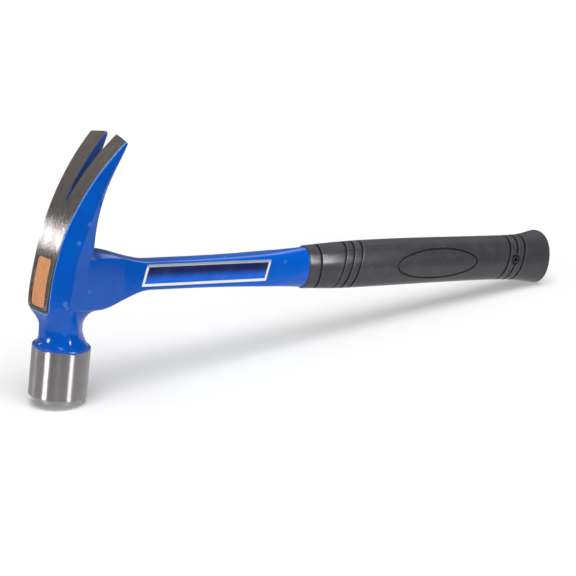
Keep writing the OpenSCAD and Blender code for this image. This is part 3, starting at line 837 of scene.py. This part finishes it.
# the point of the near side that lies this far along the handle and this high, without swells or grooves
def gripSurface(along, height):
    at, up = along - grip["start"], 0.0
    for _ in range(4):
        up = height - handleRise(grip["start"] + at) - gripArch(at)
        at = along - grip["start"] - gripLean(at) * up
    level = share(abs(up) / (smoothTable(grip["heights"], at) / 2))
    out = smoothTable(grip["thicknesses"], at) / 2 * (1 - level ** grip["power"]) ** (1 / grip["power"])
    return Vector((along, -out, height))


def ovalPoint(middle, reach, turn):
    return gripSurface(middle[0] + reach[0] * math.cos(turn), middle[1] + reach[1] * math.sin(turn))


# what is sunk into the grip: the oval line, the ring line of the pin and the pin's hole
def makeGripCutter():
    form = bmesh.new()
    # the cutter carries full painted shade into the sunk lines of the grip
    hollowShade = form.verts.layers.float.new("hollowShade")

    def place(verts, row):
        for vert, spot in zip(verts, row):
            vert.co = toStand @ (spot * mm)
            vert[hollowShade] = 1.0

    pin = gripSurface(grip["pinAlong"], handleRise(grip["pinAlong"]) + grip["pinRise"])
    ring = grip["pinRing"] / 2 - grip["pinRingInset"]
    sunkLines = [
        (grip["ovalMiddle"], grip["ovalReach"], grip["ovalLine"]),
        ((pin.x, pin.z), (ring, ring), grip["pinLine"]),
    ]
    aBitOn = 0.01
    for middle, reach, wide in sunkLines:
        rows = []
        for turn in turnsOf(grip["lineSteps"]):
            spot = ovalPoint(middle, reach, turn)
            ahead = ovalPoint(middle, reach, turn + aBitOn) - spot
            level = ahead.cross(Vector((0, -1, 0))).normalized()
            outward = level.cross(ahead).normalized()
            rows.append([spot + wide * (math.cos(a) * level + math.sin(a) * outward)
                         for a in turnsOf(grip["lineSides"])])
        drawOut(form, startRing(form, grip["lineSides"]), rows, place, closed=True)
    hole = grip["pinHole"] / 2
    mouth = hole + grip["mouthWide"]
    profile = [
        (grip["holeBottom"], grip["holeMiddle"]),
        (grip["holeBottom"], hole),
        (pin.y + grip["mouthDeep"], hole),
        (pin.y - grip["mouthProud"], mouth),
        (pin.y - grip["cutterReach"], mouth),
    ]
    rows = [[Vector((pin.x + wide * math.cos(a), depth, pin.z + wide * math.sin(a)))
             for a in turnsOf(grip["holeSides"])] for depth, wide in profile]
    drawOut(form, startRing(form, grip["holeSides"]), rows, place)
    bmesh.ops.recalc_face_normals(form, faces=form.faces)
    return placeMesh(form, "gripCutter")


def pocketRow(at, turns):
    along = grip["start"] + at
    tangT, tangH = grip["tang"]
    outs = [tangT / 2 * bulged(math.cos(a), grip["tangPower"]) for a in turns]
    ups = [tangH / 2 * bulged(math.sin(a), grip["tangPower"]) for a in turns]
    return [(Vector((along, out, handleRise(along) + up)), 1.0) for out, up in zip(outs, ups)]


def outerRow(at, inset, turns):
    depths = [grooveDepth(at, gripPoint(at, a, inset)) for a in turns]
    insets = [inset + max(depth, 0) * grip["grooveDeep"] for depth in depths]
    return [(gripPoint(at, a, deep), depth) for a, deep, depth in zip(turns, insets, depths)]


def rimStep(wide, n, steps):
    a = math.pi / 2 * n / steps
    return wide * (1 - math.cos(a)), wide * (1 - math.sin(a))


def carveGrip(piece):
    cutter = makeGripCutter()
    sunk = piece.modifiers.new("sunkLines", "BOOLEAN")
    sunk.operation = "DIFFERENCE"
    sunk.solver = "EXACT"
    sunk.object = cutter
    bpy.context.view_layer.update()
    carved = bpy.data.meshes.new_from_object(piece.evaluated_get(bpy.context.evaluated_depsgraph_get()))
    piece.modifiers.clear()
    piece.data = carved
    carved.name = "cushionGrip"
    bpy.data.objects.remove(cutter)
    # the sunk lines get the painted shade by how far they lie under the surface
    middle = grip["ovalMiddle"]
    reach = [half + grip["ovalMargin"] for half in grip["ovalReach"]]
    for vert, depth in zip(carved.vertices, carved.attributes["hollowShade"].data):
        spot = fromStand @ vert.co / mm
        byOval = math.hypot((spot.x - middle[0]) / reach[0], (spot.z - middle[1]) / reach[1]) < 1
        byPin = fromPin(spot) < grip["pinRing"] / 2 + grip["pinMargin"]
        if spot.y < 0 and (byOval or byPin):
            under = spot.y - gripSurface(spot.x, spot.z).y
            depth.value = share((under - grip["hollowFrom"]) / grip["hollowRun"])
    for face in carved.polygons:
        face.use_smooth = True
    carved.set_sharp_from_angle(angle=grip["smoothTo"])
    print("grip carved", len(carved.polygons), "faces")


def makeGrip():
    form = bmesh.new()
    hollowShade = form.verts.layers.float.new("hollowShade")
    turns = turnsOf(grip["sides"])
    rows = [pocketRow(grip["pocketEnd"], turns), pocketRow(0.0, turns)]
    for n in range(grip["frontSteps"] + 1):
        rows.append(outerRow(*rimStep(grip["frontRim"], n, grip["frontSteps"]), turns))
    for at in gripStations():
        rows.append(outerRow(at, 0.0, turns))
    for n in range(grip["buttSteps"], -1, -1):
        back, inset = rimStep(grip["buttRim"], n, grip["buttSteps"])
        rows.append(outerRow(grip["length"] - back, inset, turns))

    def place(verts, row):
        for vert, (spot, depth) in zip(verts, row):
            vert.co = toStand @ (spot * mm)
            # the groove depth also sets the painted shade in the groove and the painted highlight on its lip
            vert[hollowShade] = depth

    drawOut(form, startRing(form, grip["sides"]), rows, place)
    bmesh.ops.recalc_face_normals(form, faces=form.faces)
    piece = finishPiece(form, "cushionGrip", [mouldedRubber], "cushion_grip")
    carveGrip(piece)


# the label's strip: a slanted outline with round corners, drawn out to its thickness, its rim eased
def makeLabel():
    form = bmesh.new()
    half, lean = label["height"] / 2, label["height"] * math.tan(label["slant"])
    corners = [(0, -half), (label["length"], -half), (label["length"] + lean, half), (lean, half)]
    form.faces.new([form.verts.new((x, 0, z)) for x, z in corners])
    bmesh.ops.bevel(form, geom=list(form.verts), offset=label["corner"], offset_type="OFFSET",
                    affect="VERTICES", segments=5, profile=0.5, material=-1)
    drawn = bmesh.ops.extrude_face_region(form, geom=list(form.faces))["geom"]
    top = [part for part in drawn if isinstance(part, bmesh.types.BMVert)]
    bmesh.ops.translate(form, verts=top, vec=(0, -label["thick"], 0))
    rim = [edge for edge in form.edges if all(vert in top for vert in edge.verts)]
    bmesh.ops.bevel(form, geom=rim, offset=label["easedEdge"], offset_type="OFFSET",
                    affect="EDGES", segments=2, profile=0.5, material=-1)
    bmesh.ops.recalc_face_normals(form, faces=form.faces)
    seat = Matrix.Translation((label["front"], label["side"], label["rise"]))
    seat = seat @ Matrix.Rotation(label["turn"], 4, "Y")
    bmesh.ops.transform(form, matrix=toStand @ Matrix.Scale(mm, 4) @ seat, verts=form.verts)
    finishPiece(form, "foilLabel", [labelFoil], "foil_label")


makeForging()
makePlug()
makeGrip()
makeLabel()


# studio: white sweep for the floor, dark room in the reflections, places in metres
studio = {
    "floorReach": 6.0,
    "floorByHead": (0.9, 0.9, 0.9),
    "floorByButt": (0.62, 0.62, 0.62),
    "glowByHead": (0.03, 0.03, 0.03),
    "glowByButt": (0.33, 0.33, 0.33),
    "headToButt": (-0.2, 0.2),
    "evenFloor": (1.006, 0.862),
    "boxesWay": (-0.61, -0.79),  # across and away, from the hammer towards the front boxes
    "boxesFrom": (-0.6, 0.6),
    "boxesTo": (1.1, 0.7),
    "roomFront": (0.022, 0.022, 0.025),
    "roomBack": (0.2, 0.19, 0.18),
    "roomTurn": (-0.3, 0.4),
    "sweep": (0.62, 0.62, 0.62),
    "sweepEdge": -0.165,
    "sweepSlant": 0.5,
    "sweepNearest": -0.05,
    "sweepBlur": (-0.015, 0.015),
    "sweepBack": (0.4, 0.25),
    "sweepLeft": (-0.55, -0.4),
    "sky": (1.0, 1.0, 1.0),
    "skyStrength": 0.03,
}


def makeFloor():
    form = bmesh.new()
    bmesh.ops.create_grid(form, x_segments=8, y_segments=8, size=studio["floorReach"])
    floor = placeMesh(form, "floor")
    material, tree, shader = newMaterial("paleFloor")
    shader.inputs["Roughness"].default_value = 0.9
    shader.inputs["Specular IOR Level"].default_value = 0.0
    shader.inputs["Emission Strength"].default_value = 1.0
    across, away, _ = split(tree, addNode(tree, "ShaderNodeTexCoord").outputs["Object"])
    byButt = ramp(tree, across, *studio["headToButt"])
    # a little darker where the front boxes light it too, so that the sweep comes out one even white
    acrossWay, awayWay = studio["boxesWay"]
    toFront = calc(tree, "MULTIPLY_ADD", away, awayWay, times(tree, across, acrossWay))
    byBoxes = times(tree, ramp(tree, toFront, *studio["boxesFrom"]), ramp(tree, toFront, *studio["boxesTo"]))
    even = blendValue(tree, byBoxes, *studio["evenFloor"])
    # the floor glows more towards the butt, which lightens the shadow there, and its paper is darker there
    # to keep the sweep one white
    paper = blendColor(tree, byButt, studio["floorByHead"], studio["floorByButt"])
    glow = blendColor(tree, byButt, studio["glowByHead"], studio["glowByButt"])
    feed(tree, blendColor(tree, 1.0, paper, even, "MULTIPLY"), shader.inputs["Base Color"])
    feed(tree, blendColor(tree, 1.0, glow, even, "MULTIPLY"), shader.inputs["Emission Color"])
    # what the hammer mirrors: the lit sweep round it, and the dark room in front
    edge = calc(tree, "MULTIPLY_ADD", across, studio["sweepSlant"], studio["sweepEdge"])
    edge = calc(tree, "MINIMUM", edge, studio["sweepNearest"])
    lit = ramp(tree, calc(tree, "SUBTRACT", away, edge), *studio["sweepBlur"])
    lit = times(tree, lit, ramp(tree, away, *studio["sweepBack"]))
    lit = times(tree, lit, ramp(tree, across, *studio["sweepLeft"]))
    room = blendColor(tree, ramp(tree, away, *studio["roomTurn"]), studio["roomFront"], studio["roomBack"])
    mirrored = addNode(tree, "ShaderNodeEmission")
    feed(tree, blendColor(tree, lit, room, studio["sweep"]), mirrored.inputs["Color"])
    mix = addNode(tree, "ShaderNodeMixShader")
    feed(tree, addNode(tree, "ShaderNodeLightPath").outputs["Is Glossy Ray"], mix.inputs[0])
    tree.links.new(shader.outputs[0], mix.inputs[1])
    tree.links.new(mirrored.outputs[0], mix.inputs[2])
    tree.links.new(mix.outputs[0], tree.nodes["Material Output"].inputs["Surface"])
    floor.data.materials.append(material)


# a faint sky, and the same dark room for what the hammer mirrors
def makeWorld():
    world = bpy.data.worlds.new("studio")
    scene.world = world
    world.use_nodes = True
    tree = world.node_tree
    tree.nodes.clear()
    sky = addNode(tree, "ShaderNodeBackground")
    sky.inputs["Color"].default_value = (*studio["sky"], 1)
    sky.inputs["Strength"].default_value = studio["skyStrength"]
    room = addNode(tree, "ShaderNodeBackground")
    coords = addNode(tree, "ShaderNodeTexCoord")
    behind = ramp(tree, split(tree, coords.outputs["Generated"])[1], *studio["roomTurn"])
    feed(tree, blendColor(tree, behind, studio["roomFront"], studio["roomBack"]), room.inputs["Color"])
    mix = addNode(tree, "ShaderNodeMixShader")
    feed(tree, addNode(tree, "ShaderNodeLightPath").outputs["Is Glossy Ray"], mix.inputs[0])
    tree.links.new(sky.outputs[0], mix.inputs[1])
    tree.links.new(room.outputs[0], mix.inputs[2])
    out = addNode(tree, "ShaderNodeOutputWorld")
    tree.links.new(mix.outputs[0], out.inputs[0])


# soft light from above, left out of what the hammer mirrors: name, angle, strength
overhead = {
    "azimuth": -30,
    "elevation": 73,
    "layers": [("overheadCore", 48, 2.4), ("overheadWide", 110, 1.1)],
}

# azimuth 0 stands in front of the hammer and 90 to its right
# a grid narrows the beam, and a box that is mirrorOnly shows in the highlights alone
softBoxes = [
    {"name": "leftBox", "aim": (-0.19, 0, 0.06), "azimuth": -84, "elevation": 7, "away": 1.0,
     "size": (0.28, 0.2), "power": 3.4},
    {"name": "rightBox", "aim": (-0.19, 0, 0.06), "azimuth": 14, "elevation": 7, "away": 1.0,
     "size": (0.23, 0.2), "power": 2.8},
    {"name": "gripBox", "aim": (0.02, 0, 0.05), "azimuth": 26.5, "elevation": 5, "away": 0.6,
     "size": (0.05, 0.16), "power": 0.026, "grid": 24, "mirrorOnly": True},
    {"name": "gripBoxHigh", "aim": (0.02, 0, 0.05), "azimuth": 26.5, "elevation": 21, "away": 0.6,
     "size": (0.05, 0.16), "power": 0.026, "grid": 24, "mirrorOnly": True},
    {"name": "sideBox", "aim": (-0.15, 0, 0.08), "azimuth": 110, "elevation": 32, "away": 1.2,
     "size": (0.42, 0.46), "power": 1.0, "mirrorOnly": True},
    {"name": "backBox", "aim": (-0.18, 0, 0.1), "azimuth": -145, "elevation": 12, "away": 1.2,
     "size": (0.4, 0.085), "power": 0.7, "mirrorOnly": True},
    {"name": "topBox", "aim": (-0.19, 0, 0.06), "azimuth": -32, "elevation": 44, "away": 1.0,
     "size": (0.3, 0.12), "power": 0.45, "mirrorOnly": True},
]


def wayOut(azimuth, elevation):
    a, e = math.radians(azimuth), math.radians(elevation)
    return Vector((math.sin(a) * math.cos(e), -math.cos(a) * math.cos(e), math.sin(e)))


def standLamp(lamp, back):
    stand = bpy.data.objects.new(lamp.name, lamp)
    stand.rotation_euler = back.to_track_quat("Z", "Y").to_euler()
    scene.collection.objects.link(stand)
    return stand


def makeLights():
    for name, angle, power in overhead["layers"]:
        lamp = bpy.data.lights.new(name, "SUN")
        lamp.angle = math.radians(angle)
        lamp.energy = power
        stand = standLamp(lamp, wayOut(overhead["azimuth"], overhead["elevation"]))
        stand.visible_glossy = False
    for box in softBoxes:
        lamp = bpy.data.lights.new(box["name"], "AREA")
        lamp.shape = "RECTANGLE"
        lamp.size, lamp.size_y = box["size"]
        lamp.energy = box["power"]
        lamp.spread = math.radians(box.get("grid", 180))
        back = wayOut(box["azimuth"], box["elevation"])
        stand = standLamp(lamp, back)
        stand.location = Vector(box["aim"]) + back * box["away"]
        stand.visible_camera = False
        stand.visible_diffuse = not box.get("mirrorOnly", False)


# the photograph's camera, set out from the hammer's own axes in millimetres
photoCamera = {
    "azimuth": -38.18,
    "elevation": 17.13,
    "roll": -0.18,
    "handleTilt": 7.77,
    "aim": (165.522, 0, -34.706),
    "away": 1406.054,
    "focal": 138,
    "sensor": 36,
    "clipEnd": 50,
}


def makeCamera():
    a, r, tilt = (math.radians(photoCamera[key]) for key in ("azimuth", "roll", "handleTilt"))
    back = wayOut(photoCamera["azimuth"], photoCamera["elevation"])
    right = Vector((math.cos(a), math.sin(a), 0))
    up = back.cross(right)
    right, up = math.cos(r) * right + math.sin(r) * up, math.cos(r) * up - math.sin(r) * right
    pose = Matrix((right, up, back)).transposed().to_4x4()
    pose.translation = (Vector(photoCamera["aim"]) + photoCamera["away"] * back) * mm
    camera = bpy.data.cameras.new("photoCamera")
    camera.lens = photoCamera["focal"]
    camera.sensor_width = photoCamera["sensor"]
    camera.clip_end = photoCamera["clipEnd"]
    stand = bpy.data.objects.new("photoCamera", camera)
    stand.matrix_world = toStand @ Matrix.Rotation(-tilt, 4, "Y") @ pose
    scene.collection.objects.link(stand)
    scene.camera = stand


makeFloor()
makeWorld()
makeLights()
makeCamera()
scene.view_settings.view_transform = "Standard"
print("studio ready")
